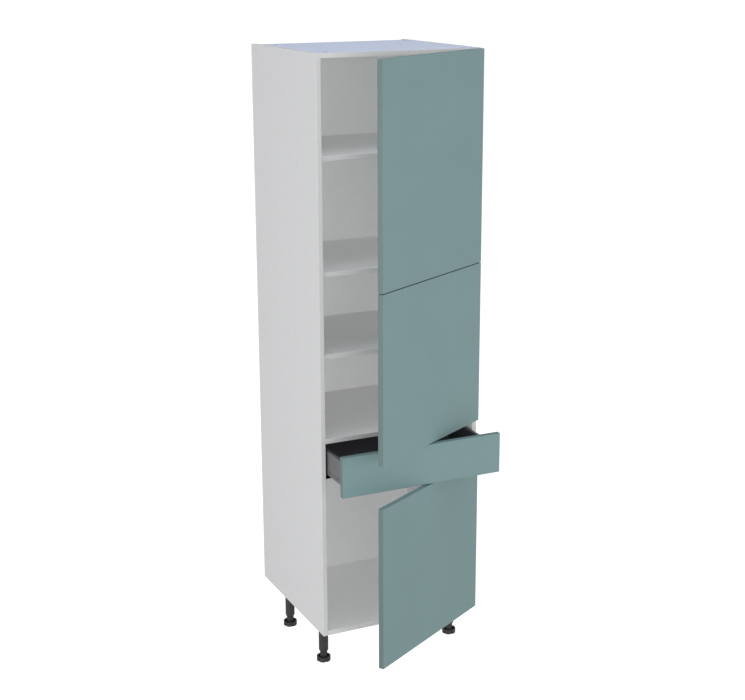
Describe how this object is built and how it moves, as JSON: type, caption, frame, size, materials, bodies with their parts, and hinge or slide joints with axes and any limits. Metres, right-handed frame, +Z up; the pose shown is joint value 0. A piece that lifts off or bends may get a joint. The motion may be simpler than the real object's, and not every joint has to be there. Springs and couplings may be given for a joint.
{
  "type": "pantry cabinet",
  "caption": "Tall pantry cabinet on levelling legs, with hinged doors above and below a pull-out drawer, fixed deck and loose shelves.",
  "frame": {"origin": "on the floor, under the middle of the carcass width and depth", "axes": "+Z up, -Y out of the front, +X to the hinge side"},
  "size_m": [0.6, 0.8821, 2.158],
  "materials": {
    "carcass": "white melamine-faced chipboard",
    "front": "matt grey-green lacquered board",
    "steel": "nickel-plated steel",
    "cam": "bare zinc casting",
    "dowel": "fluted beech",
    "leg_plastic": "black moulded plastic",
    "drawer_metal": "anthracite powder coat",
    "drawer_board": "black melamine-faced chipboard",
    "runner": "black-coated steel",
    "clear_buffer": "clear soft plastic"
  },
  "bodies": {
    "carcass": {"left_side_panel": "carcass", "right_side_panel": "carcass", "top_panel": "carcass", "bottom_panel": "carcass", "drawer_deck": "carcass", "back_panel": "carcass", "lower_shelf": "carcass", "middle_shelf": "carcass", "upper_shelf": "carcass", "shelf_pins": "steel", "cam_fittings": "cam", "cam_bolts": "steel", "wooden_dowels": "dowel", "wall_brackets": "steel", "wall_bracket_screws": "steel", "leg_sockets": "leg_plastic", "leg_socket_screws": "steel", "leg_tubes": "leg_plastic", "top_hinge_arms": "steel", "middle_hinge_arms": "steel", "lower_hinge_arms": "steel", "top_hinge_plates": "steel", "middle_hinge_plates": "steel", "lower_hinge_plates": "steel", "hinge_screws": "steel", "left_cabinet_rail": "runner", "right_cabinet_rail": "runner", "rail_screws": "steel"},
    "drawer": {"drawer_front": "front", "drawer_base": "drawer_board", "drawer_back": "drawer_metal", "drawer_left_side": "drawer_metal", "drawer_right_side": "drawer_metal", "drawer_left_rail": "runner", "drawer_right_rail": "runner", "drawer_front_brackets": "drawer_metal", "drawer_front_screws": "steel", "drawer_bumpers": "clear_buffer"},
    "middle_rails": {"left_middle_rail": "runner", "right_middle_rail": "runner"},
    "top_door": {"top_door_panel": "front", "top_hinge_cups": "steel", "top_cup_screws": "steel", "top_door_bumpers": "clear_buffer"},
    "top_links": {"top_hinge_links": "steel"},
    "middle_door": {"middle_door_panel": "front", "middle_hinge_cups": "steel", "middle_cup_screws": "steel", "middle_door_bumpers": "clear_buffer"},
    "middle_links": {"middle_hinge_links": "steel"},
    "lower_door": {"lower_door_panel": "front", "lower_hinge_cups": "steel", "lower_cup_screws": "steel", "lower_door_bumpers": "clear_buffer"},
    "lower_links": {"lower_hinge_links": "steel"},
    "front_left_foot": {"front_left_foot": "leg_plastic"},
    "front_right_foot": {"front_right_foot": "leg_plastic"},
    "rear_left_foot": {"rear_left_foot": "leg_plastic"},
    "rear_right_foot": {"rear_right_foot": "leg_plastic"}
  },
  "joints": [
    {"name": "top_door_hinge", "type": "hinge", "parent": "carcass", "child": "top_door", "pos_m": [0.2915, -0.3012, 1.797], "axis": [0, 0, 1], "range_deg": [-29.7, 75.3]},
    {"name": "top_link_hinge", "type": "hinge", "parent": "carcass", "child": "top_links", "pos_m": [0.2915, -0.3012, 1.797], "axis": [0, 0, 1], "range_deg": [-14.85, 37.65]},
    {"name": "middle_door_hinge", "type": "hinge", "parent": "carcass", "child": "middle_door", "pos_m": [0.2915, -0.3012, 1.1505], "axis": [0, 0, 1], "range_deg": [-29.7, 75.3]},
    {"name": "middle_link_hinge", "type": "hinge", "parent": "carcass", "child": "middle_links", "pos_m": [0.2915, -0.3012, 1.1505], "axis": [0, 0, 1], "range_deg": [-14.85, 37.65]},
    {"name": "lower_door_hinge", "type": "hinge", "parent": "carcass", "child": "lower_door", "pos_m": [0.2915, -0.3012, 0.4345], "axis": [0, 0, 1], "range_deg": [-29.7, 75.3]},
    {"name": "lower_link_hinge", "type": "hinge", "parent": "carcass", "child": "lower_links", "pos_m": [0.2915, -0.3012, 0.4345], "axis": [0, 0, 1], "range_deg": [-14.85, 37.65]},
    {"name": "drawer_slide", "type": "slide", "parent": "carcass", "child": "drawer", "axis": [0, -1, 0], "range_m": [-0.15, 0.32]},
    {"name": "middle_rail_slide", "type": "slide", "parent": "carcass", "child": "middle_rails", "axis": [0, -1, 0], "range_m": [-0.075, 0.16]},
    {"name": "front_left_foot_screw", "type": "slide", "parent": "carcass", "child": "front_left_foot", "axis": [0, 0, 1], "range_m": [-0.017, 0.008]},
    {"name": "front_right_foot_screw", "type": "slide", "parent": "carcass", "child": "front_right_foot", "axis": [0, 0, 1], "range_m": [-0.017, 0.008]},
    {"name": "rear_left_foot_screw", "type": "slide", "parent": "carcass", "child": "rear_left_foot", "axis": [0, 0, 1], "range_m": [-0.017, 0.008]},
    {"name": "rear_right_foot_screw", "type": "slide", "parent": "carcass", "child": "rear_right_foot", "axis": [0, 0, 1], "range_m": [-0.017, 0.008]}
  ],
  "couplings": [
    {"joint": "top_link_hinge", "follows": "top_door_hinge", "ratio": 0.5},
    {"joint": "middle_link_hinge", "follows": "middle_door_hinge", "ratio": 0.5},
    {"joint": "lower_link_hinge", "follows": "lower_door_hinge", "ratio": 0.5},
    {"joint": "middle_rail_slide", "follows": "drawer_slide", "ratio": 0.5}
  ]
}
